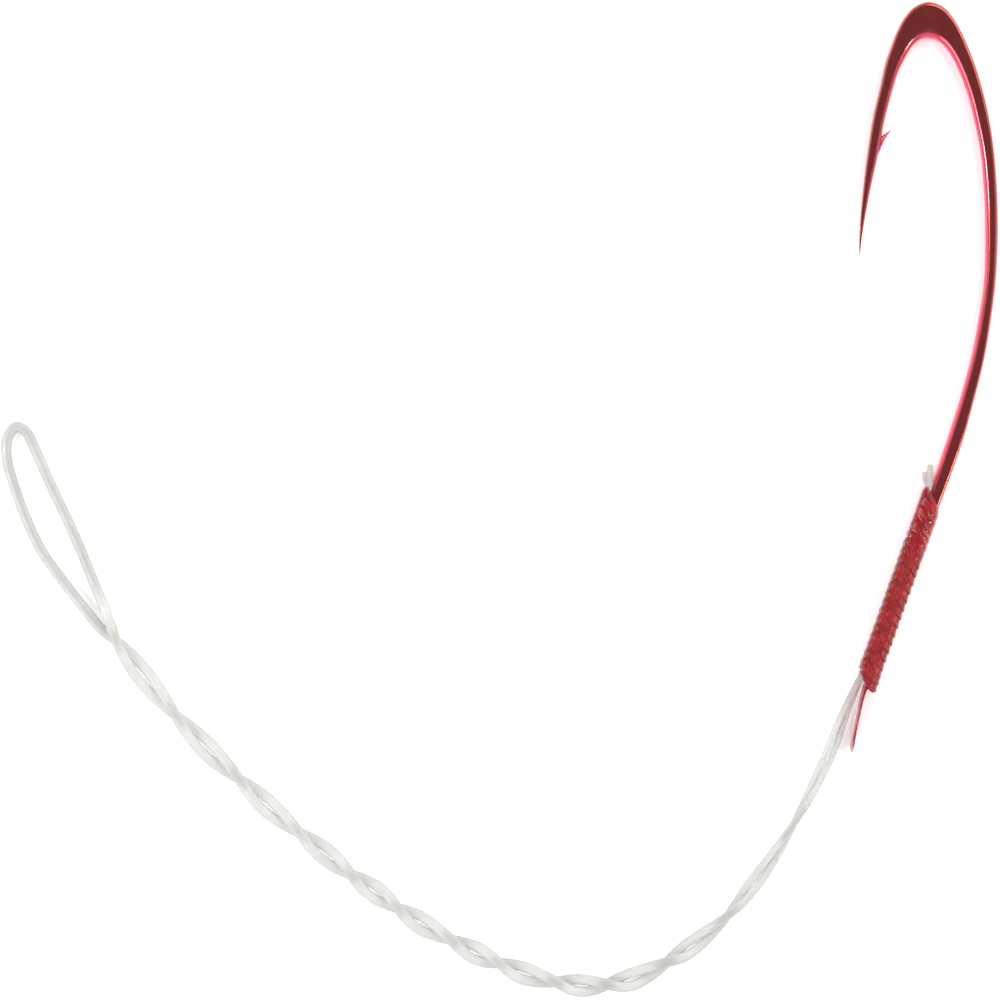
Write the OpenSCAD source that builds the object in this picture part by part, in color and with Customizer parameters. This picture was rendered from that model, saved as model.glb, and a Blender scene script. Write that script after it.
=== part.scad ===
// Snelled fishing hook with a twisted leader that ends in a loop.
// The hook lies flat: X to the right, Y from the spade end up to the bend, Z up off the table.
// The origin is on the table, under the middle of the hook's outline.

/* [Hook] */
// Thickness of the hook wire, square to the plane of the bend
wire_t = 0.95; // [0.85:0.05:0.95]
// Width of the forged bend at its crown, in the plane of the hook
crown_w = 2.2; // [1.8:0.1:2.2]
// Width of the flattened spade end, square to the plane of the bend
spade_w = 1.6; // [1.3:0.1:1.6]
// Thickness of the flattened spade end
spade_t = 0.3; // [0.24:0.02:0.32]
// Length of the barb from its root to its tip, along its curve
barb_len = 2.1; // [1.9:0.05:2.2]

/* [Whipping] */
// Number of turns of thread round the shank
turns = 21; // [16:1:24]
// Thickness of the thread as it lies on the shank
thread_t = 0.12; // [0.1:0.01:0.16]
// Slant of the turns: how far a turn runs along the shank per unit of width
slant = 1; // [0:0.05:1.1]
// Length of the varnished collar at the bend end of the whipping
varnish_len = 3.2; // [2:0.2:5]

/* [Leader] */
// Diameter of the line where it leaves the whipping
line_d_hook = 0.36; // [0.3:0.02:0.38]
// Diameter of the line at the loop
line_d_loop = 0.62; // [0.5:0.02:0.64]

/* [Hidden] */

hook_sides = 16;
line_sides = 8;
sleeve_sides = 24;
hook_steps = 3;          // rings per station of the hook
thread_steps = 4;        // rings per turn of the whipping
gap = 0.02;              // clearance between the thread and what it holds
forge_power = 0.8;       // below 1 gives the hook's section its flattened faces
thread_ripple = 0.15;    // how far the thread's outline sinks between turns, in thicknesses, each way
coat_t = 0.05;           // thickness of the varnish
coat_rim = 0.35;         // length over which the varnish thins at each of its ends
coat_edge = 0.4;         // what is left of its thickness there
bend_z = 0.48;           // height of the middle of the bend, which lies on the table

// The hook's wire, from the spade end round the bend to the point:
// x, y, width in the plane of the bend, thickness square to it, height of its middle
hook_stations = [
    [-4.31, -22.50, spade_t * 0.45, spade_w * 0.45, 0.80],
    [-4.27, -22.20, spade_t * 0.9, spade_w * 0.78, 0.80],
    [-4.19, -21.60, spade_t, spade_w * 0.97, 0.80],
    [-3.98, -20.60, spade_t, spade_w, 0.80],
    [-3.72, -19.40, spade_t, spade_w * 0.86, 0.80],
    [-3.38, -18.40, 0.38, 1.02, 0.79],
    [-2.93, -17.40, 0.56, 0.94, 0.78],
    [-2.36, -15.80, 0.74, 0.90, 0.77],
    [-1.48, -13.40, 0.78, 0.90, 0.75],
    [-0.14, -9.60, 0.82, 0.90, 0.72],
    [0.66, -7.40, 0.90, 0.92, 0.69],
    [1.92, -3.80, 0.96, wire_t, 0.64],
    [2.64, -1.40, 0.87, wire_t, 0.60],
    [3.27, 1.00, 0.82, wire_t, 0.56],
    [3.72, 3.40, 0.77, wire_t, 0.53],
    [4.04, 5.80, 0.73, wire_t, 0.50],
    [4.14, 8.50, 0.78, wire_t, bend_z],
    [4.08, 11.20, 0.81, wire_t, bend_z],
    [3.87, 13.60, 0.84, wire_t, bend_z],
    [3.56, 15.40, 0.92, wire_t, bend_z],
    [3.12, 17.20, 0.97, wire_t, bend_z],
    [2.48, 19.00, 1.10, wire_t, bend_z],
    [1.65, 20.50, 0.70 * crown_w, wire_t, bend_z],
    [0.27, 21.42, crown_w, wire_t, bend_z],
    [-0.78, 20.53, 0.66 * crown_w, wire_t, bend_z],
    [-1.59, 19.08, 0.48 * crown_w, wire_t, bend_z],
    [-2.12, 17.50, 0.83, wire_t, bend_z],
    [-2.62, 15.50, 0.76, 0.90, bend_z],
    [-3.02, 13.20, 0.66, 0.78, bend_z],
    [-3.36, 11.20, 0.46, 0.60, bend_z],
    [-3.62, 9.30, 0.28, 0.40, bend_z],
    [-3.74, 8.00, 0.14, 0.20, bend_z],
    [-3.76, 7.14, 0.03, 0.03, bend_z]];

// The barb: where it leaves the wire, the way it turns, and its size at the root
barb_root = [-3.0, 13.05];
barb_start = 88;
barb_finish = 18;
barb_curl = 1.6;         // above 1 keeps the turn for its outer end
barb_slices = 8;
barb_r = 0.28;
barb_t = 0.5;

// The whipping runs straight along the shank from its bend end to its spade end
whip_top = [0.49, -7.47, 0.71];
whip_end = [-3.33, -18.17, 0.79];
whip_len = norm(whip_end - whip_top);
whip_axis = (whip_end - whip_top) / whip_len;
whip_side = [-whip_axis[1], whip_axis[0], 0] / norm([whip_axis[0], whip_axis[1]]);

// What the thread holds, across the shank: middle u, middle w, half widths
shank_core = [0.15, 0, 0.45, 0.48];
leg_u = -0.43;
leg_w = 0.37;
leg_r = line_d_hook / 2;
leg_core_r = leg_r + gap / 2;
core = [shank_core,
        [leg_u, leg_w, leg_core_r, leg_core_r],
        [leg_u, -leg_w, leg_core_r, leg_core_r]];

// The line's two cut tags, above the bend end of the whipping, and where each leg passes under it
tag_upper = [[0.40, -5.25, 1.16], [0.37, -5.95, 1.12]];
tag_lower = [[0.14, -5.68, 0.34], [0.20, -6.15, 0.34]];
leg_stops = [-0.35, 2.5, 5.5, 8.5, whip_len - 0.15];

// The leader's middle line from the whipping to the neck of the loop, laid on the table:
// x, y, height of its middle
leader_route = [
    [-3.6, -17.7, 0.79], [-4.7, -20.2, 0.66], [-5.6, -22.6, 0.54], [-7.6, -26.6, 0.46],
    [-9.9, -30.1, 0.48], [-11.6, -32.2, 0.50], [-13.8, -34.1, 0.52], [-15.2, -35.0, 0.53],
    [-17.4, -36.1, 0.55], [-18.8, -36.4, 0.56], [-20.4, -36.5, 0.58], [-21.9, -36.3, 0.59],
    [-23.8, -35.8, 0.60], [-25.3, -35.2, 0.61], [-26.7, -34.6, 0.62], [-28.2, -33.8, 0.63],
    [-30.0, -32.8, 0.64], [-31.4, -31.9, 0.64], [-32.8, -30.9, 0.65], [-34.2, -29.9, 0.65],
    [-35.7, -28.7, 0.66], [-37.3, -27.4, 0.66], [-39.2, -25.8, 0.66], [-40.9, -24.2, 0.66],
    [-42.8, -22.4, 0.66], [-44.7, -20.4, 0.66], [-46.6, -18.1, 0.66], [-48.3, -15.9, 0.66]];

exit_share = 0.14;       // how far along the first stretch the leader starts, clear of the legs
exit_half_h = 0.45;      // its half height there, with one line above the other
first_half_w = 0.36;     // its half width at the second point, before the twist is full

// The loop's line, out along its lower side, round the end and back: x, y, height
loop_route = [
    [-48.60, -16.05, 0.62], [-49.30, -15.10, 0.48], [-50.30, -13.90, 0.35], [-51.70, -12.10, 0.32],
    [-52.90, -10.40, 0.32], [-53.80, -8.50, 0.32], [-54.50, -6.60, 0.32], [-54.95, -4.90, 0.32],
    [-54.90, -3.60, 0.32], [-54.40, -3.00, 0.32], [-53.80, -3.30, 0.32], [-53.20, -4.50, 0.32],
    [-52.40, -6.30, 0.32], [-51.50, -8.20, 0.32], [-50.60, -10.20, 0.32], [-49.70, -12.40, 0.35],
    [-48.90, -14.30, 0.48], [-48.10, -15.75, 0.62]];

function spline(p0, p1, p2, p3, t) =
    0.5 * (2 * p1 + (p2 - p0) * t + (2 * p0 - 5 * p1 + 4 * p2 - p3) * t * t
           + (3 * p1 - p0 - 3 * p2 + p3) * t * t * t);
function at(list, i) = list[max(0, min(len(list) - 1, i))];
function smooth(list, steps) = concat(
    [for (i = [0:len(list) - 2], k = [0:steps - 1])
        spline(at(list, i - 1), list[i], list[i + 1], at(list, i + 2), k / steps)],
    [list[len(list) - 1]]);
function heading(list, i) =
    let (d = at(list, i + 1) - at(list, i - 1), flat = [d[0], d[1]])
    flat / norm(flat);
function rounded(v) = sign(v) * pow(abs(v), forge_power);

// Rings of a closed tube, joined by triangles
function side_faces(rings, sides, first = 0, flip = false) =
    [for (i = [0:rings - 2], j = [0:sides - 1], half = [0, 1])
        let (a = first + i * sides + j, b = first + i * sides + (j + 1) % sides,
             tri = half == 0 ? [a, b, a + sides] : [b, b + sides, a + sides])
        flip ? tri : [tri[0], tri[2], tri[1]]];
module tube(rings) {
    sides = len(rings[0]);
    count = len(rings);
    polyhedron(points = [for (ring = rings) each ring],
               faces = concat(side_faces(count, sides),
                              [[for (j = [0:sides - 1]) j]],
                              [[for (j = [sides - 1:-1:0]) (count - 1) * sides + j]]),
               convexity = 8);
}

// Rings of a line lying near the table: half width and half height at each point
function line_rings(path, half_w, half_h) =
    [for (i = [0:len(path) - 1])
        let (h = heading(path, i), n = [-h[1], h[0], 0])
        [for (j = [0:line_sides - 1])
            let (a = (j + 0.5) * 360 / line_sides)
            path[i] + n * half_w[i] * cos(a) + [0, 0, half_h[i] * sin(a)]]];

// The point of the whipping's core whose outward normal is at angle a, moved out by grow
function support(s, a) = s[0] * cos(a) + s[1] * sin(a)
    + norm([s[2] * cos(a), s[3] * sin(a)]);
function touch(s, a, grow) =
    let (k = norm([s[2] * cos(a), s[3] * sin(a)]))
    [s[0] + s[2] * s[2] * cos(a) / k + grow * cos(a),
     s[1] + s[3] * s[3] * sin(a) / k + grow * sin(a)];
function outermost(a) =
    let (reach = [for (s = core) support(s, a)], top = max(reach))
    [for (i = [0:len(core) - 1]) if (reach[i] == top) core[i]][0];
function core_point(a, grow) = touch(outermost(a), a, grow);
function whip_point(s, u, w) =
    whip_top + whip_axis * (s + slant * u) + whip_side * u + [0, 0, w];
function sleeve_ring(s, grow) =
    [for (j = [0:sleeve_sides - 1])
        let (p = core_point((j + 0.5) * 360 / sleeve_sides, grow))
        whip_point(s, p[0], p[1])];

// A sleeve with a wall: outer rings out, then the bore's rings back
module sleeve(outer, inner) {
    count = len(outer);
    sides = sleeve_sides;
    first = count * sides;
    ends = [for (j = [0:sides - 1], half = [0, 1])
        let (k = (j + 1) % sides)
        each [half == 0 ? [j, first + k, first + j] : [j, k, first + k],
              half == 0
              ? [first + sides + j, (count - 1) * sides + k, (count - 1) * sides + j]
              : [first + sides + j, first + sides + k, (count - 1) * sides + k]]];
    polyhedron(points = [for (ring = concat(outer, inner)) each ring],
               faces = concat(side_faces(count, sides), side_faces(2, sides, first, true), ends),
               convexity = 8);
}

// The barb is a thorn of thin slices that leaves the wire and bends back towards the shank
function barb_turn(k) = barb_start - (barb_start - barb_finish) * pow(k / barb_slices, barb_curl);
function barb_at(k) = k == 0 ? barb_root
    : barb_at(k - 1) + barb_len / barb_slices * [cos(barb_turn(k)), sin(barb_turn(k))];
module barb_slice(k) {
    left = 1 - k / barb_slices;
    h = barb_t * left + 0.05;
    translate([barb_at(k)[0], barb_at(k)[1], bend_z - h / 2])
        cylinder(r = barb_r * pow(left, 0.7) + 0.012, h = h, $fn = 12);
}
module barb() {
    for (k = [0:barb_slices - 1])
        hull() {
            barb_slice(k);
            barb_slice(k + 1);
        }
}

module hook() {
    path = smooth(hook_stations, hook_steps);
    color([0.62, 0.07, 0.09]) {
        tube([for (i = [0:len(path) - 1])
            let (h = heading(path, i), n = [-h[1], h[0], 0], p = path[i])
            [for (j = [0:hook_sides - 1])
                let (a = (j + 0.5) * 360 / hook_sides)
                [p[0], p[1], p[4]] + n * p[2] / 2 * rounded(cos(a))
                    + [0, 0, p[3] / 2 * rounded(sin(a))]]]);
        barb();
    }
}

module whipping_thread() {
    count = turns * thread_steps;
    color([0.68, 0.08, 0.12])
        sleeve([for (i = [0:count])
                   sleeve_ring(whip_len * i / count,
                               gap + thread_t
                                   * (1 - thread_ripple * (1 + cos(360 * i / thread_steps))))],
               [for (i = [0, 1]) sleeve_ring(whip_len * i, gap)]);
}

module varnish_coat() {
    bore = 2 * gap + thread_t;
    color([0.72, 0.16, 0.2, 0.6])
        sleeve([for (s = [0, coat_rim, varnish_len - coat_rim, varnish_len])
                   sleeve_ring(s, bore + (s == 0 || s == varnish_len ? coat_edge : 1) * coat_t)],
               [for (s = [0, varnish_len]) sleeve_ring(s, bore)]);
}

// One leg of the line under the whipping, with its cut tag above the bend end
module line_leg(side, tag) {
    path = concat(tag, [for (s = leg_stops) whip_point(s, leg_u, side * leg_w)]);
    half = [for (p = path) leg_r];
    color([0.88, 0.87, 0.84]) tube(line_rings(path, half, half));
}
module line_leg_upper() line_leg(1, tag_upper);
module line_leg_lower() line_leg(-1, tag_lower);

function line_r(f) = (line_d_hook + (line_d_loop - line_d_hook) * min(1, 1.4 * f)) / 2;

// The two lines leave the whipping one above the other, then twist round each other
module leader_twist() {
    n = len(leader_route) - 1;
    start = leader_route[0] + exit_share * (leader_route[1] - leader_route[0]);
    path = [for (i = [0:n]) i == 0 ? start : leader_route[i]];
    half_w = [for (i = [0:n]) i == 0 ? leg_r : i == 1 ? first_half_w : 2 * line_r(i / n)];
    half_h = [for (i = [0:n]) i == 0 ? exit_half_h : 2 * line_r(i / n)];
    color([0.9, 0.9, 0.88]) tube(line_rings(path, half_w, half_h));
}

module leader_loop() {
    half = [for (p = loop_route) line_d_loop / 2];
    color([0.9, 0.9, 0.88]) tube(line_rings(loop_route, half, half));
}

hook();
whipping_thread();
varnish_coat();
line_leg_upper();
line_leg_lower();
leader_twist();
leader_loop();
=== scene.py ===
"""Looks for the snelled hook: a lacquered barbed hook, its whipping and its twisted clear leader.

Lengths are written in millimetres and multiplied by MM. X is to the right, Y runs from the hook's
spade end up to its bend, and Z is up off the table.
"""

import bmesh
import bpy
import numpy as np
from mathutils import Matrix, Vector
from mathutils.kdtree import KDTree


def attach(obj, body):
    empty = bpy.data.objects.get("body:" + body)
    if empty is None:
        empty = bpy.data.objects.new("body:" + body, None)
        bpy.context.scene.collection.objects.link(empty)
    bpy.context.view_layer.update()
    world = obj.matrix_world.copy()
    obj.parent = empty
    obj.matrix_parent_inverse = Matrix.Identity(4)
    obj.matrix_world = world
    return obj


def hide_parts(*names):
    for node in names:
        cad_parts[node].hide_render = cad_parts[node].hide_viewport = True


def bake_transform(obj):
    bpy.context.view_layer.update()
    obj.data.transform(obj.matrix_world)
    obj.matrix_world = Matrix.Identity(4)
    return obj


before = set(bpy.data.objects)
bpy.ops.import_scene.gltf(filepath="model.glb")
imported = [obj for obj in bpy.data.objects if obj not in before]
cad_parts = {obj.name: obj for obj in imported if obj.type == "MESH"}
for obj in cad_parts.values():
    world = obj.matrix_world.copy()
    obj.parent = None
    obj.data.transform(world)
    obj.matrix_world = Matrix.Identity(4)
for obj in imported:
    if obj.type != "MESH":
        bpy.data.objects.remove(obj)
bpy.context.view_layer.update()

MM = 0.001
UP = np.array([0.0, 0.0, 1.0])


# ---------------------------------------------------------------- camera, floor and light

VIEW_MIDDLE = np.array([-25.35, -7.38, 0.5])
STUDIO_MIDDLE = np.array([-25.0, -7.0, 0.0])
VIEW_WIDTH = 60.0
LENS = 150.0
SENSOR = 36.0


def make_camera():
    data = bpy.data.cameras.new("camera")
    data.lens = LENS
    data.sensor_width = SENSOR
    data.clip_start = 0.01
    data.clip_end = 10.0
    camera = bpy.data.objects.new("camera", data)
    camera.location = (VIEW_MIDDLE + UP * VIEW_WIDTH * LENS / SENSOR) * MM
    bpy.context.scene.collection.objects.link(camera)
    bpy.context.scene.camera = camera


def area_light(name, where, size, power, colour=(1, 1, 1)):
    """A soft box at a place in millimetres, turned towards the middle of the view."""
    data = bpy.data.lights.new(name, "AREA")
    data.shape = "RECTANGLE"
    data.size, data.size_y = size[0] * MM, size[1] * MM
    data.energy = power
    data.color = colour
    light = bpy.data.objects.new(name, data)
    place = (np.array(where) + STUDIO_MIDDLE) * MM
    light.location = place
    towards = Vector(STUDIO_MIDDLE * MM - place)
    light.rotation_euler = towards.to_track_quat("-Z", "Y").to_euler()
    bpy.context.scene.collection.objects.link(light)


def make_world(stops):
    """A white room with a dimmer ceiling: stops are (height of the direction, brightness)."""
    world = bpy.data.worlds.new("studio")
    world.use_nodes = True
    tree = world.node_tree
    direction = tree.nodes.new("ShaderNodeTexCoord").outputs["Generated"]
    parts = tree.nodes.new("ShaderNodeSeparateXYZ")
    tree.links.new(direction, parts.inputs["Vector"])
    ramp = tree.nodes.new("ShaderNodeValToRGB")
    tree.links.new(parts.outputs["Z"], ramp.inputs["Fac"])
    elements = ramp.color_ramp.elements
    while len(elements) < len(stops):
        elements.new(0.5)
    for element, (at, bright) in zip(elements, stops):
        element.position = at
        element.color = (bright, bright, bright, 1)
    tree.links.new(ramp.outputs["Color"], tree.nodes["Background"].inputs["Color"])
    bpy.context.scene.world = world


FLOOR_HALF = 900
FLOOR_DROP = 0.005       # how far the floor lies under the lowest surfaces
FLOOR_WHITE = 0.97
FLOOR_GLOW = 0.22        # keeps the paper white right up to the object, as the photograph has it


def make_floor():
    size = FLOOR_HALF * MM
    mesh = bpy.data.meshes.new("floor")
    corners = [(-size, -size, 0), (size, -size, 0), (size, size, 0), (-size, size, 0)]
    mesh.from_pydata(corners, [], [(0, 1, 2, 3)])
    floor = bpy.data.objects.new("floor", mesh)
    floor.location.z = -FLOOR_DROP * MM
    bpy.context.scene.collection.objects.link(floor)
    material = bpy.data.materials.new("floor_paper")
    material.use_nodes = True
    shader = material.node_tree.nodes["Principled BSDF"]
    shader.inputs["Base Color"].default_value = (FLOOR_WHITE, FLOOR_WHITE, FLOOR_WHITE, 1)
    shader.inputs["Roughness"].default_value = 0.9
    shader.inputs["Specular IOR Level"].default_value = 0.1
    shader.inputs["Emission Color"].default_value = (1.0, 1.0, 1.0, 1)
    shader.inputs["Emission Strength"].default_value = FLOOR_GLOW
    floor.data.materials.append(material)


# ---------------------------------------------------------------- curves and tubes

def spline(points, steps):
    """A smooth curve through rows of numbers, with that many samples from each row to the next."""
    rows = np.array(points, float)
    padded = np.vstack([2 * rows[0] - rows[1], rows, 2 * rows[-1] - rows[-2]])
    knots = np.concatenate([[0], np.cumsum(
        np.sqrt(np.linalg.norm(np.diff(padded[:, :2], axis=0), axis=1)) + 1e-6)])
    out = []
    for i in range(len(rows) - 1):
        t0, t1, t2, t3 = knots[i:i + 4]
        p0, p1, p2, p3 = padded[i:i + 4]
        for t in np.linspace(t1, t2, steps, endpoint=False):
            a = (p0 * (t1 - t) + p1 * (t - t0)) / (t1 - t0)
            b = (p1 * (t2 - t) + p2 * (t - t1)) / (t2 - t1)
            c = (p2 * (t3 - t) + p3 * (t - t2)) / (t3 - t2)
            d = (a * (t2 - t) + b * (t - t0)) / (t2 - t0)
            e = (b * (t3 - t) + c * (t - t1)) / (t3 - t1)
            out.append((d * (t2 - t) + e * (t - t1)) / (t2 - t1))
    out.append(rows[-1])
    return np.array(out)


def resample(line, step):
    """The same line, in rows that lie about step apart along its first three columns."""
    along = lengths(line)
    at = np.linspace(0, along[-1], int(np.ceil(along[-1] / step)) + 1)
    return np.stack([np.interp(at, along, line[:, k]) for k in range(line.shape[1])], axis=1)


def lengths(line):
    """The distance along a line of each of its points."""
    steps = np.linalg.norm(np.diff(line[:, :3], axis=0), axis=1)
    return np.concatenate([[0], np.cumsum(steps)])


def unit(v):
    return v / np.linalg.norm(v, axis=-1, keepdims=True)


def tangents(line):
    return unit(np.gradient(line, axis=0))


def build_mesh(name, rings, close_ends=True, uvs=None):
    """A tube of quads through rings of points in millimetres: rings is (count, sides, 3)."""
    count, sides = rings.shape[:2]
    points = rings.reshape(-1, 3) * MM
    faces = []
    for i in range(count - 1):
        for j in range(sides):
            k = (j + 1) % sides
            faces.append((i * sides + j, i * sides + k, (i + 1) * sides + k, (i + 1) * sides + j))
    if close_ends:
        faces.append(tuple(range(sides))[::-1])
        faces.append(tuple((count - 1) * sides + j for j in range(sides)))
    mesh = bpy.data.meshes.new(name)
    mesh.from_pydata(points.tolist(), [], faces)
    if uvs is not None:
        layer = mesh.uv_layers.new(name="run")
        values = np.zeros((len(mesh.loops), 2), np.float32)
        loop_points = np.zeros(len(mesh.loops), np.int32)
        mesh.loops.foreach_get("vertex_index", loop_points)
        values[:] = uvs.reshape(-1, 2)[loop_points]
        seam = np.zeros(len(mesh.loops), bool)
        for p in mesh.polygons:
            if p.loop_total == 4:
                inside = [loop_points[n] % sides for n in p.loop_indices]
                if 0 in inside and sides - 1 in inside:
                    for n, at in zip(p.loop_indices, inside):
                        seam[n] = at == 0
        values[seam, 1] += 1.0
        layer.data.foreach_set("uv", values.ravel())
    mesh.validate()
    turn_outwards(mesh)
    mesh.shade_smooth()
    piece = bpy.data.objects.new(name, mesh)
    bpy.context.scene.collection.objects.link(piece)
    return piece


def turn_outwards(mesh):
    bm = bmesh.new()
    bm.from_mesh(mesh)
    bmesh.ops.recalc_face_normals(bm, faces=bm.faces)
    bm.to_mesh(mesh)
    bm.free()


def set_values(piece, name, values):
    """Keeps one number for each point of the mesh, for its material to read."""
    attribute = piece.data.attributes.new(name, "FLOAT", "POINT")
    attribute.data.foreach_set("value", np.asarray(values, np.float32))


# ---------------------------------------------------------------- material helpers

class Nodes:
    """Short ways to add nodes to one material."""

    def __init__(self, name):
        self.material = bpy.data.materials.new(name)
        self.material.use_nodes = True
        self.tree = self.material.node_tree
        self.shader = self.tree.nodes["Principled BSDF"]

    def set(self, **values):
        for key, value in values.items():
            socket = self.shader.inputs[key.replace("_", " ")]
            socket.default_value = value

    def link(self, out, socket):
        target = self.shader.inputs[socket] if isinstance(socket, str) else socket
        self.tree.links.new(out, target)

    def value(self, name):
        node = self.tree.nodes.new("ShaderNodeAttribute")
        node.attribute_name = name
        return node.outputs["Fac"]

    def position(self):
        return self.tree.nodes.new("ShaderNodeTexCoord").outputs["Object"]

    def facing(self):
        """0 where the surface is seen square on, up to 1 at its rim."""
        node = self.tree.nodes.new("ShaderNodeLayerWeight")
        node.inputs["Blend"].default_value = 0.5
        return node.outputs["Facing"]

    def run(self):
        node = self.tree.nodes.new("ShaderNodeUVMap")
        node.uv_map = "run"
        return node.outputs["UV"]

    def scaled(self, vector, scale):
        node = self.tree.nodes.new("ShaderNodeMapping")
        node.inputs["Scale"].default_value = scale
        self.tree.links.new(vector, node.inputs["Vector"])
        return node.outputs["Vector"]

    def noise(self, vector, scale, detail=3.0, roughness=0.5):
        node = self.tree.nodes.new("ShaderNodeTexNoise")
        node.inputs["Scale"].default_value = scale
        node.inputs["Detail"].default_value = detail
        node.inputs["Roughness"].default_value = roughness
        self.tree.links.new(vector, node.inputs["Vector"])
        return node.outputs["Fac"]

    def ramp(self, fac, stops):
        node = self.tree.nodes.new("ShaderNodeValToRGB")
        elements = node.color_ramp.elements
        while len(elements) < len(stops):
            elements.new(0.5)
        for element, (at, colour) in zip(elements, stops):
            element.position = at
            element.color = (*colour, 1)
        self.tree.links.new(fac, node.inputs["Fac"])
        return node.outputs["Color"]

    def spread(self, fac, low, high, to_low, to_high):
        node = self.tree.nodes.new("ShaderNodeMapRange")
        for key, value in zip(("From Min", "From Max", "To Min", "To Max"),
                              (low, high, to_low, to_high)):
            node.inputs[key].default_value = value
        self.tree.links.new(fac, node.inputs["Value"])
        return node.outputs["Result"]

    def maths(self, operation, a, b):
        node = self.tree.nodes.new("ShaderNodeMath")
        node.operation = operation
        for socket, value in zip(node.inputs, (a, b)):
            if isinstance(value, (int, float)):
                socket.default_value = value
            else:
                self.tree.links.new(value, socket)
        return node.outputs["Value"]

    def mix(self, fac, a, b, blend="MIX"):
        node = self.tree.nodes.new("ShaderNodeMix")
        node.data_type = "RGBA"
        node.blend_type = blend
        colours = [s for s in node.inputs if s.type == "RGBA"]
        for socket, value in ((node.inputs["Factor"], fac), (colours[0], a), (colours[1], b)):
            if isinstance(value, (int, float)):
                socket.default_value = value
            elif isinstance(value, tuple):
                socket.default_value = (*value, 1)
            else:
                self.tree.links.new(value, socket)
        return [s for s in node.outputs if s.type == "RGBA"][0]

    def bump(self, *layers):
        """Layers of (height, strength, distance in millimetres), each on top of the last."""
        normal = None
        for height, strength, distance in layers:
            node = self.tree.nodes.new("ShaderNodeBump")
            node.inputs["Strength"].default_value = strength
            node.inputs["Distance"].default_value = distance * MM
            self.tree.links.new(height, node.inputs["Height"])
            if normal is not None:
                self.tree.links.new(normal, node.inputs["Normal"])
            normal = node.outputs["Normal"]
        self.link(normal, "Normal")


# ---------------------------------------------------------------- the whipped stretch

WHIP_TOP = np.array([0.49, -7.47, 0.71])
WHIP_END = np.array([-3.33, -18.17, 0.79])
WHIP_LEN = np.linalg.norm(WHIP_END - WHIP_TOP)
WHIP_AXIS = (WHIP_END - WHIP_TOP) / WHIP_LEN
WHIP_SIDE = unit(np.array([-WHIP_AXIS[1], WHIP_AXIS[0], 0.0]))
SLANT = 1.0
TURNS = 21
PITCH = WHIP_LEN / TURNS
BLUNT_HALF = 0.62        # the half width at which the slanted ends' corners are drawn in fully
BLUNT_TOP = (0.16, 1.2)  # how far they are drawn in at the top, and over what length
BLUNT_END = (0.36, 1.5)  # and at the end where the leader comes out
LEG_U, LEG_W = -0.42, 0.37
LINE_D_HOOK, LINE_D_LOOP = 0.36, 0.64
WIND_RADIUS = 0.1        # how far outside what it holds the thread's turns are measured out
# What the thread holds: middle u, middle w, half width and half height of each
CORE = np.array([[0.14, 0.0, 0.42, 0.47],
                 [LEG_U, LEG_W, 0.18, 0.18],
                 [LEG_U, -LEG_W, 0.18, 0.18]])


def whip_point(s, u, w):
    """Places along the whipping: s down its axis, u across it to the right, w up."""
    s, u, w = (np.asarray(v, float)[..., None] for v in (s, u, w))
    return WHIP_TOP + WHIP_AXIS * (s + SLANT * u) + WHIP_SIDE * u + UP * w


def blunt(s, u):
    """How far the whipping's slanted ends are drawn in at their corners."""
    corner = (np.abs(u) / BLUNT_HALF) ** 3
    top = BLUNT_TOP[0] * corner * np.clip(1 - s / BLUNT_TOP[1], 0, 1)
    end = BLUNT_END[0] * corner * np.clip(1 - (WHIP_LEN - s) / BLUNT_END[1], 0, 1)
    return np.where(u < 0, top, 0) - np.where(u > 0, end, 0)


def core_outline(samples=720):
    """The tight outline round the shank and the two legs, and its outward normals."""
    a = np.linspace(0, 2 * np.pi, samples, endpoint=False)[:, None]
    normal = np.stack([np.cos(a[:, 0]), np.sin(a[:, 0])], axis=1)
    k = np.hypot(CORE[:, 2] * np.cos(a), CORE[:, 3] * np.sin(a))
    reach = CORE[:, 0] * np.cos(a) + CORE[:, 1] * np.sin(a) + k
    best = reach.argmax(axis=1)
    rows = np.arange(samples)
    shape = CORE[best]
    point = shape[:, :2] + shape[:, 2:] ** 2 * normal / k[rows, best][:, None]
    return point, normal


def core_at(turn, grow, shrink=1.0):
    """Points round the outline, grow outside it: turn counts whole turns, evenly by distance."""
    point, normal = core_outline()
    point, normal = (np.vstack([v, v[:1]]) for v in (point, normal))
    along = lengths(np.column_stack([point + WIND_RADIUS * normal, np.zeros(len(point))]))
    at = np.mod(turn, 1.0) * along[-1]
    pick = [np.interp(at, along, v) for v in (*point.T, *normal.T)]
    out = unit(np.stack(pick[2:], axis=-1))
    grow, shrink = (np.asarray(v, float)[..., None] for v in (grow, shrink))
    return np.stack(pick[:2], axis=-1) * shrink + out * grow, out


# ---------------------------------------------------------------- the line

# The leader's middle line, from the whipping to the neck of the loop: x, y, height
LEADER_ROUTE = [
    (-3.6, -17.7, 0.79), (-4.7, -20.2, 0.66), (-5.6, -22.6, 0.54), (-7.6, -26.6, 0.46),
    (-9.9, -30.1, 0.48), (-11.6, -32.2, 0.50), (-13.8, -34.1, 0.52), (-15.2, -35.0, 0.53),
    (-17.4, -36.1, 0.55), (-18.8, -36.4, 0.56), (-20.4, -36.5, 0.58), (-21.9, -36.3, 0.59),
    (-23.8, -35.8, 0.60), (-25.3, -35.2, 0.61), (-26.7, -34.6, 0.62), (-28.2, -33.8, 0.63),
    (-30.0, -32.8, 0.64), (-31.4, -31.9, 0.64), (-32.8, -30.9, 0.65), (-34.2, -29.9, 0.65),
    (-35.7, -28.7, 0.66), (-37.3, -27.4, 0.66), (-39.2, -25.8, 0.66), (-40.9, -24.2, 0.66),
    (-42.8, -22.4, 0.66), (-44.7, -20.4, 0.66), (-46.6, -18.1, 0.66), (-48.3, -15.9, 0.66)]

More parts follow.
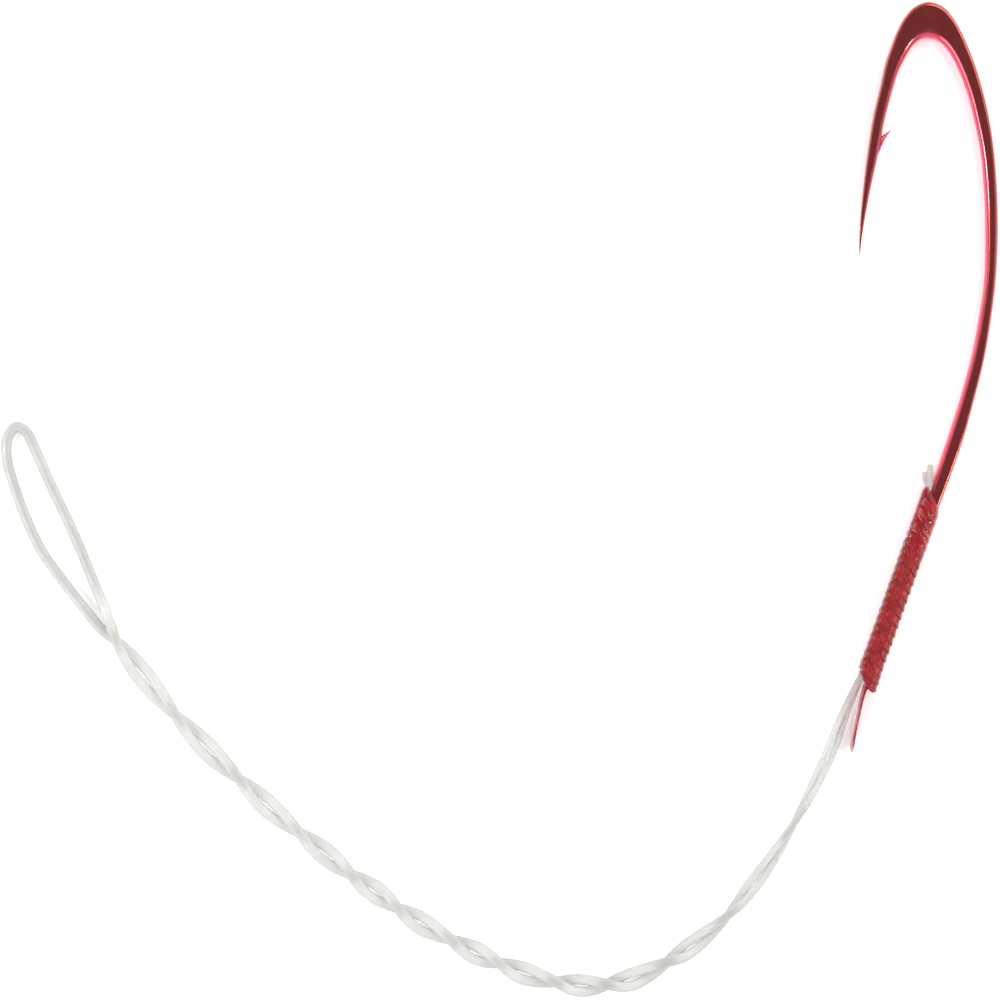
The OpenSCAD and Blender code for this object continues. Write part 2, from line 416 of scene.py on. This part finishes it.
# The loop, out along its lower side, round its end and back: x, y, height
LOOP_ROUTE = [
    (-48.60, -16.05, 0.62), (-49.30, -15.10, 0.48), (-50.30, -13.90, 0.35), (-51.70, -12.10, 0.32),
    (-52.90, -10.40, 0.32), (-53.80, -8.50, 0.32), (-54.50, -6.60, 0.32), (-54.95, -4.90, 0.32),
    (-54.90, -3.60, 0.32), (-54.40, -3.00, 0.32), (-53.80, -3.30, 0.32), (-53.20, -4.50, 0.32),
    (-52.40, -6.30, 0.32), (-51.50, -8.20, 0.32), (-50.60, -10.20, 0.32), (-49.70, -12.40, 0.35),
    (-48.90, -14.30, 0.48), (-48.10, -15.75, 0.62)]

EXIT = np.array(LEADER_ROUTE[0])
LINE_SIDES = 20
LINE_STEP = 0.1
TWIST_SLACK = 1.14       # how far apart the twisted lines lie, against lines that just touch
# Along the leader, the share of the way to the loop and how much of its growth the line has by then
LINE_GROWTH = ([0, 0.07, 0.13, 0.20, 0.27], [0, 0.04, 0.28, 0.58, 1])
FIRST_HALF_TURNS = [0.5, 0.75]   # at the whipping and one route point on; then half a turn each
LEGS_MEET = 1.5          # how many route points on the stacked legs have come together
TABLE_GAP = 0.01
NECK_HEIGHTS = (0.36, 0.62)      # where the loop's far side climbs over to the neck
LEG_STATIONS = np.array([-0.35, 2.5, 5.5, 8.5, WHIP_LEN - 0.6])
END_BEVEL, END_DRAW = 0.12, 0.45
CUT_REACH, DYE_REACH = 1.8, 3.5  # how far the cut ends look milky and pinkish grey, and how far the exit looks dyed
UPPER_TAG = [(0.40, -5.25, 1.16), (0.37, -5.95, 1.12)]
LOWER_TAG = [(0.14, -5.68, 0.34), (0.20, -6.15, 0.34)]


def line_diameter(share):
    """The line's diameter at a share of the way from the whipping to the loop."""
    fuller = np.interp(share, *LINE_GROWTH)
    return LINE_D_HOOK + (LINE_D_LOOP - LINE_D_HOOK) * fuller


def twisted_pair(steps=14):
    """The two lines of the leader, from the whipping to the neck: each row is x, y, z, diameter."""
    last = len(LEADER_ROUTE) - 1
    half_turns = FIRST_HALF_TURNS + [0.5 * i for i in range(2, last + 1)]
    rows = [(*p, h, line_diameter(i / last))
            for i, (p, h) in enumerate(zip(LEADER_ROUTE, half_turns))]
    middle = spline(rows, steps)
    # the phase goes straight from one route point to the next, so that it never turns back
    middle[:, 3] = np.interp(np.arange(len(middle)) / steps, range(last + 1), half_turns)
    heading = tangents(middle[:, :3])
    across = unit(np.cross(UP, heading))
    over = np.cross(heading, across)
    share = np.linspace(0, 1, len(middle))
    apart = np.maximum(middle[:, 4] / 2 * TWIST_SLACK,
                       LEG_W * np.clip(1 - share * last / LEGS_MEET, 0, 1))
    # the twisted lines are lifted where they would otherwise dip into the table
    clear = np.clip(share * last / LEGS_MEET, 0, 1) * (apart + middle[:, 4] / 2 + TABLE_GAP)
    middle[:, 2] = np.maximum(middle[:, 2], clear)
    phase = middle[:, 3] * np.pi
    side = apart[:, None] * (np.cos(phase)[:, None] * across + np.sin(phase)[:, None] * over)
    return [np.column_stack([middle[:, :3] + sign * side, middle[:, 4]]) for sign in (1, -1)]


def leg(side, tag):
    """One leg under the thread, from its cut end to the exit."""
    inner = whip_point(LEG_STATIONS, LEG_U, side * LEG_W)
    rows = np.vstack([np.array(tag), inner])
    return np.column_stack([rows, np.full(len(rows), LINE_D_HOOK)])


def line_course():
    """The whole line from one cut end to the other: rows of x, y, z, diameter."""
    upper, lower = twisted_pair()
    loop = np.array(LOOP_ROUTE[1:-1])
    loop[:, 2] = LINE_D_LOOP / 2
    loop[-2:, 2] = NECK_HEIGHTS
    loop = np.column_stack([loop, np.full(len(loop), LINE_D_LOOP)])
    knots = np.vstack([leg(1, UPPER_TAG), upper[:-1:2], upper[-1:], loop, lower[-1:],
                       lower[:-1:2][::-1], leg(-1, LOWER_TAG)[::-1]])
    gap = np.linalg.norm(np.diff(knots[:, :3], axis=0), axis=1)
    knots = knots[np.concatenate([[True], gap > 1e-4])]
    return resample(spline(knots, 8), LINE_STEP)


def frames(line):
    """A heading, side and top at each point of a line, turning as little as they can."""
    heading = tangents(line)
    side = np.cross(UP, heading[0])
    out = []
    for h in heading:
        side = side - h * (side @ h)
        side = side / np.linalg.norm(side)
        out.append(side)
    side = np.array(out)
    return heading, side, np.cross(heading, side)


def round_tube(name, course, sides):
    """A tube along rows of x, y, z, diameter, with its ends slightly rounded off."""
    heading, side, top = frames(course[:, :3])
    a = np.arange(sides) / sides * 2 * np.pi
    along = lengths(course)
    end = np.minimum(along, along[-1] - along)
    radius = course[:, 3] / 2
    soft = np.sqrt(np.clip(1 - (1 - np.clip(end / END_BEVEL, 0, 1)) ** 2 * END_DRAW, 0, 1))
    radius = radius * soft
    rings = (course[:, None, :3] + radius[:, None, None]
             * (np.cos(a)[None, :, None] * side[:, None] + np.sin(a)[None, :, None] * top[:, None]))
    uvs = np.stack(np.broadcast_arrays(along[:, None], (a / (2 * np.pi))[None, :]), -1)
    return build_mesh(name, rings, uvs=uvs)


def line_material():
    n = Nodes("clear_monofilament")
    n.set(Roughness=0.10, IOR=1.45, Specular_IOR_Level=0.5)
    n.link(n.spread(n.value("cut"), 0.0, 1.0, 0.50, 0.25), "Transmission Weight")
    facing = n.facing()
    solid = n.spread(facing, 0.1, 0.7, 0.74, 0.97)
    n.link(n.maths("MAXIMUM", solid, n.value("cut")), "Alpha")
    flow = n.noise(n.scaled(n.run(), (0.5, 1.5, 1.0)), 1.0, 2.0)
    clear = n.mix(n.spread(flow, 0.35, 0.7, 0.0, 1.0), (0.70, 0.71, 0.68), (0.79, 0.80, 0.77))
    # painted shade: the base colour is darkened towards the rod's rims as seen, standing in for the
    # dark room seen through clear line
    painted_rim_shade = n.spread(facing, 0.15, 0.6, 0.0, 0.9)
    colour = n.mix(painted_rim_shade, clear, (0.56, 0.57, 0.55))
    # a pink tint near the exit, where the line is dyed, and a pinkish grey towards the cut ends
    n.link(n.mix(n.value("exit_dye_end_tint"), colour, (0.86, 0.50, 0.48), "MULTIPLY"), "Base Color")
    n.bump((n.noise(n.scaled(n.run(), (0.8, 2.0, 1.0)), 1.0, 2.0), 0.08, 0.02))
    return n.material


def make_line():
    course = line_course()
    piece = round_tube("clear_line", course, LINE_SIDES)
    piece.data.materials.append(line_material())
    away = np.linalg.norm(course[:, :3] - EXIT, axis=1)
    along = lengths(course)
    from_end = np.minimum(along, along[-1] - along)
    cut = np.clip(1 - from_end / CUT_REACH, 0, 1) ** 0.5
    exit_dye_end_tint = np.maximum(np.clip(1 - away / DYE_REACH, 0, 1) * 0.5, cut * 0.45)
    set_values(piece, "exit_dye_end_tint", np.repeat(exit_dye_end_tint, LINE_SIDES))
    set_values(piece, "cut", np.repeat(cut, LINE_SIDES))
    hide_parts("line_leg_upper", "line_leg_lower", "leader_twist", "leader_loop")
    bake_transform(piece)


# ---------------------------------------------------------------- the hook

WIRE_T = 0.95
SPADE_W = 1.6
SPADE_T = 0.3
BEND_Z = 0.48

# x, y, width in the plane of the bend, thickness square to it, height of its middle, and the
# width of its rounded edges: between them the forged faces are flat
SHANK_STATIONS = [
    (-4.31, -22.50, SPADE_T * 0.45, SPADE_W * 0.45, 0.80, 0.06),
    (-4.27, -22.20, SPADE_T * 0.9, SPADE_W * 0.78, 0.80, 0.11),
    (-4.19, -21.60, SPADE_T, SPADE_W * 0.97, 0.80, 0.12),
    (-3.98, -20.60, SPADE_T, SPADE_W, 0.80, 0.12),
    (-3.72, -19.40, SPADE_T, SPADE_W * 0.86, 0.80, 0.12),
    (-3.38, -18.40, 0.38, 1.02, 0.79, 0.17),
    (-2.93, -17.40, 0.56, 0.94, 0.78, 0.26),
    (-2.36, -15.80, 0.74, 0.90, 0.77, 0.34),
    (-1.48, -13.40, 0.78, 0.90, 0.75, 0.34),
    (-0.14, -9.60, 0.82, 0.90, 0.72, 0.30),
    (0.66, -7.40, 0.90, 0.92, 0.69, 0.28),
    (1.92, -3.80, 0.96, WIRE_T, 0.64, 0.26),
    (2.64, -1.40, 0.87, WIRE_T, 0.60, 0.25),
    (3.27, 1.00, 0.82, WIRE_T, 0.56, 0.26),
    (3.72, 3.40, 0.77, WIRE_T, 0.53, 0.30),
    (4.04, 5.80, 0.73, WIRE_T, 0.50, 0.35),
    (4.14, 8.50, 0.78, WIRE_T, BEND_Z, 0.38),
    (4.08, 11.20, 0.81, WIRE_T, BEND_Z, 0.34),
    (3.87, 13.60, 0.84, WIRE_T, BEND_Z, 0.27),
    (3.56, 15.40, 0.92, WIRE_T, BEND_Z, 0.27),
    (3.12, 17.20, 0.97, WIRE_T, BEND_Z, 0.29)]

# Over the crown: inner edge x, y, outer edge x, y, thickness, height, rounded edges
CROWN_EDGES = [
    (1.99, 18.75, 2.99, 19.20, WIRE_T, BEND_Z, 0.31),
    (1.60, 19.45, 2.42, 20.55, WIRE_T, BEND_Z, 0.34),
    (1.24, 19.90, 1.90, 21.48, WIRE_T, BEND_Z, 0.37),
    (0.81, 20.20, 1.24, 22.22, WIRE_T, BEND_Z, 0.39),
    (0.30, 20.31, 0.33, 22.53, WIRE_T, BEND_Z, 0.40),
    (-0.15, 20.20, -0.50, 22.22, WIRE_T, BEND_Z, 0.39),
    (-0.52, 19.90, -1.08, 21.60, WIRE_T, BEND_Z, 0.37),
    (-0.84, 19.45, -1.53, 20.80, WIRE_T, BEND_Z, 0.34),
    (-1.16, 18.85, -1.92, 19.80, WIRE_T, BEND_Z, 0.31),
    (-1.46, 18.20, -2.27, 18.75, WIRE_T, BEND_Z, 0.28)]

POINT_STATIONS = [
    (-2.12, 17.50, 0.83, WIRE_T, BEND_Z, 0.25),
    (-2.62, 15.50, 0.76, 0.90, BEND_Z, 0.22),
    (-3.02, 13.20, 0.66, 0.78, BEND_Z, 0.19),
    (-3.36, 11.20, 0.46, 0.60, BEND_Z, 0.15),
    (-3.62, 9.30, 0.28, 0.40, BEND_Z, 0.11),
    (-3.74, 8.00, 0.14, 0.20, BEND_Z, 0.06),
    (-3.76, 7.14, 0.03, 0.03, BEND_Z, 0.014)]

HOOK_SIDES = 64
HOOK_STEP = 0.1
INNER_EDGE, OUTER_EDGE = 1.35, 0.72   # how round each edge is, against its station's figure
SECTION_SAMPLES = 1441
SHARP_ANGLE = 38
POINT_X = -1.2           # left of this the hook is its point's side, where its painted rim light is cooler
SPADE_Y, TIP_Y = -18.6, -22.0    # below these its painted rim colours turn lighter towards the spade, with a pale pink painted highlight on its inner edge, and it turns greyish pink at its tip


def squared(v, power):
    return np.sign(v) * np.abs(v) ** power


def edges_of(stations):
    """The two edges of the wire at each station: inner x, y, outer x, y, then the rest."""
    rows = np.array(stations)
    ends = np.vstack([2 * rows[0] - rows[1], rows, 2 * rows[-1] - rows[-2]])
    along = unit(ends[2:, :2] - ends[:-2, :2])
    inwards = np.stack([-along[:, 1], along[:, 0]], axis=1) * rows[:, 2:3] / 2
    return np.hstack([rows[:, :2] + inwards, rows[:, :2] - inwards, rows[:, 3:]])


def hook_course():
    """Rows of x, y, z, inner edge, outer edge, thickness, z and rounded edge along the wire."""
    edges = np.vstack([edges_of(SHANK_STATIONS), CROWN_EDGES, edges_of(POINT_STATIONS)])
    fine = spline(edges, 40)
    middle = (fine[:, 0:2] + fine[:, 2:4]) / 2
    course = np.column_stack([middle, fine[:, 5], fine])
    return resample(course, HOOK_STEP)


def section(width, thickness, edge):
    """A flat-faced outline, evenly spaced; its inner edge is rounder than its outer one."""
    a = np.linspace(0, 2 * np.pi, SECTION_SAMPLES)
    inner = min(edge * INNER_EDGE, width / 2)
    outer = min(edge * OUTER_EDGE, width / 2)
    x = np.where(np.cos(a) > 0, width / 2 - inner + inner * np.cos(a),
                 outer - width / 2 + outer * np.cos(a))
    z = thickness / 2 * np.sin(a)
    along = np.concatenate([[0], np.cumsum(np.hypot(np.diff(x), np.diff(z)))])
    at = (np.arange(HOOK_SIDES) + 0.5) / HOOK_SIDES * along[-1]
    return np.stack([np.interp(at, along, x) / width * 2, np.interp(at, along, z)], axis=1)


def hook_rings(course):
    """Rings round the wire, each drawn from its inner edge to its outer edge."""
    middle = (course[:, 3:5] + course[:, 5:7]) / 2
    half = (course[:, 3:5] - course[:, 5:7]) / 2
    rings = []
    for row, at, out in zip(course, middle, half):
        shape = section(2 * np.linalg.norm(out), row[7], row[9])
        flat = at + shape[:, :1] * out
        rings.append(np.column_stack([flat, row[2] + shape[:, 1]]))
    return np.array(rings)


# Along the barb from its root in the wire to its tip: x, y, half its width, half its thickness
BARB_STATIONS = [
    (-3.12, 12.30, 0.10, 0.30),
    (-2.98, 12.95, 0.18, 0.30),
    (-2.83, 13.50, 0.23, 0.28),
    (-2.66, 13.90, 0.22, 0.25),
    (-2.47, 14.20, 0.17, 0.20),
    (-2.22, 14.50, 0.10, 0.12),
    (-1.90, 14.80, 0.012, 0.015)]


def barb_mesh(sides=24):
    """The barb: a thorn that leaves the wire and bends back towards the shank."""
    course = spline(np.array(BARB_STATIONS), 6)
    middle, half, deep = course[:, :2], course[:, 2], course[:, 3]
    heading = unit(np.gradient(middle, axis=0))
    across = np.stack([-heading[:, 1], heading[:, 0]], axis=1)
    a = np.arange(sides) / sides * 2 * np.pi
    flat = middle[:, None] + across[:, None] * (half[:, None] * squared(np.cos(a), 0.8))[..., None]
    z = BEND_Z + deep[:, None] * squared(np.sin(a), 0.8)
    return build_mesh("barb", np.concatenate([flat, z[..., None]], axis=-1))


def hook_material():
    n = Nodes("red_hook_lacquer")
    n.set(Metallic=0.85, Roughness=0.16, IOR=1.5, Coat_Weight=1.0, Coat_Roughness=0.05,
          Coat_IOR=1.5)
    side = n.spread(n.value("side"), -1.0, 1.0, 0.0, 1.0)
    # painted light: across the wire the inner rim is painted bright pink and the outer rim orange,
    # over a dark maroon middle, standing in for tinted light caught on the rounded edges
    painted_rim_colour = n.ramp(side, [(0.0, (0.66, 0.050, 0.19)), (0.10, (0.86, 0.065, 0.13)),
                         (0.30, (0.40, 0.04, 0.05)), (0.82, (0.40, 0.045, 0.04)),
                         (0.93, (0.38, 0.040, 0.008)), (1.0, (0.52, 0.09, 0.006))])
    # on the point's side the painted rim light is cooler and dimmer
    cool_painted_rims = n.ramp(side, [(0.0, (0.46, 0.030, 0.055)), (0.25, (0.40, 0.04, 0.05)),
                         (0.80, (0.40, 0.045, 0.04)), (1.0, (0.34, 0.024, 0.036))])
    painted_rim_colour = n.mix(n.value("point"), painted_rim_colour, cool_painted_rims)
    # on the spade: a pale pink painted highlight on the inner edge, and lighter painted rim colours
    spade_painted_rims = n.ramp(side, [(0.0, (0.86, 0.55, 0.60)), (0.35, (0.62, 0.10, 0.16)),
                         (0.60, (0.36, 0.02, 0.05)), (1.0, (0.70, 0.06, 0.04))])
    painted_rim_colour = n.mix(n.value("spade"), painted_rim_colour, spade_painted_rims)
    place = n.position()
    mottled = n.spread(n.noise(place, 900.0, 4.0, 0.6), 0.35, 0.7, 0.0, 0.35)
    colour = n.mix(mottled, painted_rim_colour, (0.33, 0.03, 0.03))
    specks = n.spread(n.noise(place, 5200.0, 3.0, 0.7), 0.66, 0.74, 0.0, 0.7)
    worn = n.spread(n.noise(place, 160.0, 2.0), 0.45, 0.6, 0.0, 1.0)
    colour = n.mix(n.maths("MULTIPLY", specks, worn), colour, (0.92, 0.30, 0.10))
    n.link(n.mix(n.value("tip"), colour, (0.60, 0.46, 0.47)), "Base Color")
    n.link(n.spread(n.noise(place, 2500.0, 3.0), 0.3, 0.75, 0.10, 0.24), "Roughness")
    drawn = n.noise(n.scaled(place, (1.0, 0.12, 1.0)), 5000.0, 2.0)
    n.bump((n.noise(place, 700.0, 2.0), 0.12, 0.02), (drawn, 0.10, 0.004))
    return n.material


def make_hook():
    course = hook_course()
    piece = build_mesh("hook_wire", hook_rings(course))
    barb = barb_mesh()
    cut = piece.modifiers.new("barb", "BOOLEAN")
    cut.operation = "UNION"
    cut.solver = "EXACT"
    cut.object = barb
    bpy.context.view_layer.update()
    joined = bpy.data.meshes.new_from_object(
        piece.evaluated_get(bpy.context.evaluated_depsgraph_get()))
    piece.modifiers.clear()
    piece.data = joined
    bpy.data.objects.remove(barb)
    piece.data.materials.clear()
    piece.data.materials.append(hook_material())
    joined.shade_smooth()
    joined.set_sharp_from_angle(angle=np.radians(SHARP_ANGLE))
    set_values(piece, "side", side_of_wire(joined, course))
    height = np.array([v.co.y for v in joined.vertices]) / MM
    aside = np.array([v.co.x for v in joined.vertices]) / MM
    set_values(piece, "point", np.clip(POINT_X - aside, 0, 1) * (height > 0))
    set_values(piece, "spade", np.clip((SPADE_Y - height) / 1.4, 0, 1))
    set_values(piece, "tip", np.clip((TIP_Y - height) / 0.3, 0, 1) * 0.8)
    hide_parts("hook")
    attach(piece, "root")


def side_of_wire(mesh, course):
    """For each point of the hook, -1 on the inner side of the bend up to 1 on the outer side."""
    points = np.zeros(len(mesh.vertices) * 3)
    mesh.vertices.foreach_get("co", points)
    points = points.reshape(-1, 3) / MM
    tree = KDTree(len(course))
    for i, row in enumerate(course):
        tree.insert((row[0], row[1], 0), i)
    tree.balance()
    near = np.array([tree.find((p[0], p[1], 0))[1] for p in points])
    left = (course[near, 3:5] - course[near, 5:7]) / 2
    offset = ((points[:, :2] - course[near, :2]) * left).sum(axis=1) / (left ** 2).sum(axis=1)
    return -np.clip(offset, -1, 1)


# ---------------------------------------------------------------- the whipping and its varnish

THREAD_HALF_T = 0.122
THREAD_SEAT = 0.020      # how far the thread's middle stands off what it holds
THREAD_STEPS = 60
TUCKED_TURNS = 2.5       # the thread's last turns, drawn in round the neck of the shank
THREAD_SIDES = 24
THREAD_OVERLAP = 1.10    # how wide a turn is, against the pitch
THREAD_TILT = 0.16       # how far the turns lean over at the sides, so that each shows its edge


def ribbon_outline():
    """The thread's section: two plies side by side, as half widths and half thicknesses."""
    a = np.arange(THREAD_SIDES) / THREAD_SIDES * 2 * np.pi
    plies = np.where(np.sin(a) > 0, 1 - 0.34 * np.cos(2 * a + np.pi) * np.sin(a) ** 2, 1)
    return np.cos(a), np.sin(a) * plies * 0.85


def make_thread():
    """One thread, wound down the shank over the line's legs and drawn in at the end."""
    turns = TURNS + TUCKED_TURNS
    turn = np.linspace(0, turns, int(turns * THREAD_STEPS) + 1)
    s = np.clip(turn * PITCH + 0.04 * np.sin(turn * 7.7) * PITCH, 0, WHIP_LEN)
    uneven = 1 + 0.07 * np.sin(turn * 5.1) + 0.05 * np.sin(turn * 7.3)
    last = np.clip((turn - TURNS + 1.6) / 0.8, 0, 1)
    tucked = np.clip(turn - TURNS, 0, None) / TUCKED_TURNS
    end = np.clip(np.minimum(turn, turns - turn) / 0.25, 0.25, 1) ** 0.5
    half_t = THREAD_HALF_T * uneven * end * (1 + 0.25 * last)
    seat = THREAD_SEAT - 0.06 * (1 - end) + 0.01 * last - 0.10 * np.clip(tucked * 3, 0, 1)
    point, normal = core_at(turn, seat, 1 - 0.75 * tucked)
    middle = whip_point(s + blunt(s, point[:, 0]), point[:, 0], point[:, 1])
    outward = WHIP_SIDE * normal[:, :1] + UP * normal[:, 1:]
    heading = tangents(middle)
    outward = unit(outward - heading * (outward * heading).sum(axis=1, keepdims=True))
    width = np.cross(heading, outward)
    width = width * np.sign(width @ WHIP_AXIS)[:, None]
    tilt = THREAD_TILT * normal[:, :1]
    width, outward = (width * np.cos(tilt) + outward * np.sin(tilt),
                      outward * np.cos(tilt) - width * np.sin(tilt))
    half_w = 0.5 * PITCH * np.abs(width @ WHIP_AXIS) * THREAD_OVERLAP * (0.6 + 0.4 * end)
    across, thick = ribbon_outline()
    rings = (middle[:, None]
             + width[:, None] * (half_w[:, None] * across)[..., None]
             + outward[:, None] * (half_t[:, None] * thick)[..., None])
    along = lengths(middle)
    around = np.arange(THREAD_SIDES) / THREAD_SIDES
    uvs = np.stack(np.broadcast_arrays(along[:, None], around[None, :]), -1)
    piece = build_mesh("whipping_thread_wound", rings, uvs=uvs)
    # 0 along the middle of the thread up to 1 at its edges, where painted shade darkens it between
    # the turns
    set_values(piece, "groove_shade", np.tile(np.abs(across) ** 4, len(middle)))
    piece.data.materials.append(thread_material())
    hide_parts("whipping_thread")
    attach(piece, "root")


def thread_material():
    n = Nodes("red_whipping_thread")
    n.set(Roughness=0.34, IOR=1.75, Specular_Tint=(1.0, 0.30, 0.28, 1), Coat_Weight=0.10)
    n.set(Coat_Roughness=0.2, Coat_IOR=1.45)
    run = n.run()
    fibres = n.noise(n.scaled(run, (3.0, 9.0, 1.0)), 1.0, 3.0, 0.6)
    patches = n.noise(n.position(), 1500.0, 3.0)
    colour = n.ramp(patches, [(0.3, (0.155, 0.006, 0.009)), (0.55, (0.235, 0.009, 0.013)),
                              (0.75, (0.31, 0.015, 0.020))])
    colour = n.mix(n.spread(fibres, 0.45, 0.75, 0.0, 0.5), colour, (0.55, 0.07, 0.08))
    # painted shade: the thread is darkened at its edges, in the grooves between its turns
    colour = n.mix(n.value("groove_shade"), colour, (0.70, 0.50, 0.50), "MULTIPLY")
    # painted shade: the thread's base colour is darkened towards its rims as seen
    painted_rim_shade = n.spread(n.facing(), 0.35, 0.9, 0.0, 1.0)
    n.link(n.mix(painted_rim_shade, colour, (0.45, 0.55, 0.55), "MULTIPLY"), "Base Color")
    n.bump((fibres, 0.4, 0.02), (n.noise(n.position(), 5000.0, 2.0), 0.15, 0.01))
    return n.material


VARNISH_LEN = 3.2
VARNISH_LIP = 0.28       # how far the varnish runs on past the first turn, down to the shank
VARNISH_THIN = 0.004     # the least thickness of the film
WHIP_GIRTH = 3.7         # about how far it is round the whipping
BEAD_PLACES = np.arange(0.35, 2.9, 0.42)   # how far down the whipping the drops lie
BEAD_MOST = 0.09         # the highest that drops may stand where they run together
BEAD_ROWS = (0.167, 0.318)   # where round the whipping its two rows of drops lie, in turns


def varnish_beads(s, turn):
    """Small drops of varnish that lie along the thread, as heights over the film."""
    rng = np.random.default_rng(11)
    height = np.zeros(np.broadcast(s, turn).shape)
    places = [(at_s, row) for row in BEAD_ROWS for at_s in BEAD_PLACES]
    for at_s, row in places:
        at_s, at_turn = at_s + rng.uniform(-0.12, 0.12), row + rng.uniform(-0.025, 0.025)
        round_by = (turn - at_turn + 0.5) % 1.0 - 0.5
        along = round_by * WHIP_GIRTH
        across = s - at_s - PITCH * round_by
        size = rng.uniform(0.7, 1.2)
        height += (rng.uniform(0.045, 0.075)
                   * np.exp(-(along / (0.24 * size)) ** 2 - (across / (0.09 * size)) ** 2))
    return np.minimum(height, BEAD_MOST)


def make_varnish():
    """The set varnish over the first turns: thin, glossy, and sinking into the grooves."""
    rows, sides = 180, 150
    s = np.linspace(-VARNISH_LIP, VARNISH_LEN, rows)[:, None]
    turn = (np.arange(sides) / sides)[None]
    crest = THREAD_SEAT + THREAD_HALF_T
    rise = np.sqrt(np.clip(1 - (1 - np.clip((s + VARNISH_LIP) / 0.5, 0, 1)) ** 2, 0, 1))
    sink = np.clip((VARNISH_LEN + 0.25 * np.sin(turn * 6 * np.pi) - s) / 0.8, 0, 1)
    ridge = 0.008 * np.cos(2 * np.pi * (s / PITCH - turn))
    full = crest - 0.004 + ridge + varnish_beads(s, turn)
    outer = rise * (full * sink + (crest - 0.06) * (1 - sink))
    outer = np.maximum(outer, VARNISH_THIN)
    grid = np.broadcast_to(turn, outer.shape)
    point, _ = core_at(grid, outer)
    inner_point, _ = core_at(grid[[-1, 0]], np.full((2, sides), 0.002))
    rings = whip_point(s + blunt(s, point[..., 0]), point[..., 0], point[..., 1])
    inner_s = s[[-1, 0]] + blunt(s[[-1, 0]], inner_point[..., 0])
    back = whip_point(inner_s, inner_point[..., 0], inner_point[..., 1])
    closed = np.concatenate([rings, back, rings[:1]])
    piece = build_mesh("varnish_film", closed, close_ends=False)
    bm = bmesh.new()
    bm.from_mesh(piece.data)
    bmesh.ops.remove_doubles(bm, verts=bm.verts, dist=1e-7)
    bmesh.ops.recalc_face_normals(bm, faces=bm.faces)
    bm.to_mesh(piece.data)
    bm.free()
    piece.data.shade_smooth()
    piece.data.materials.append(varnish_material())
    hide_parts("varnish_coat")
    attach(piece, "root")


def varnish_material():
    n = Nodes("red_tinted_varnish")
    n.set(Roughness=0.12, IOR=1.6, Specular_Tint=(1.0, 0.35, 0.34, 1), Coat_Weight=0.9)
    n.set(Coat_Roughness=0.03, Coat_IOR=1.45)
    place = n.position()
    depth = n.noise(place, 1200.0, 3.0)
    n.link(n.ramp(depth, [(0.3, (0.19, 0.006, 0.012)), (0.7, (0.34, 0.013, 0.020))]), "Base Color")
    n.bump((n.noise(place, 2600.0, 3.0), 0.35, 0.04))
    return n.material


# ---------------------------------------------------------------- the scene

make_camera()
make_line()
make_hook()
make_thread()
make_varnish()
make_floor()
# bright up to well above the horizon, for the hook's rims, and dim overhead, for its flats
make_world([(0.0, 0.95), (0.62, 0.90), (0.86, 0.245), (1.0, 0.225)])
area_light("key", (150, 170, 180), (230, 200), 0.40, (1.0, 0.97, 0.93))
area_light("fill", (-190, -110, 160), (230, 200), 0.335, (0.96, 0.97, 1.0))
area_light("spark_left", (-200, 10, 160), (36, 36), 0.13)
area_light("spark_right", (195, -55, 160), (36, 36), 0.13)

bpy.context.scene.view_settings.view_transform = "Standard"
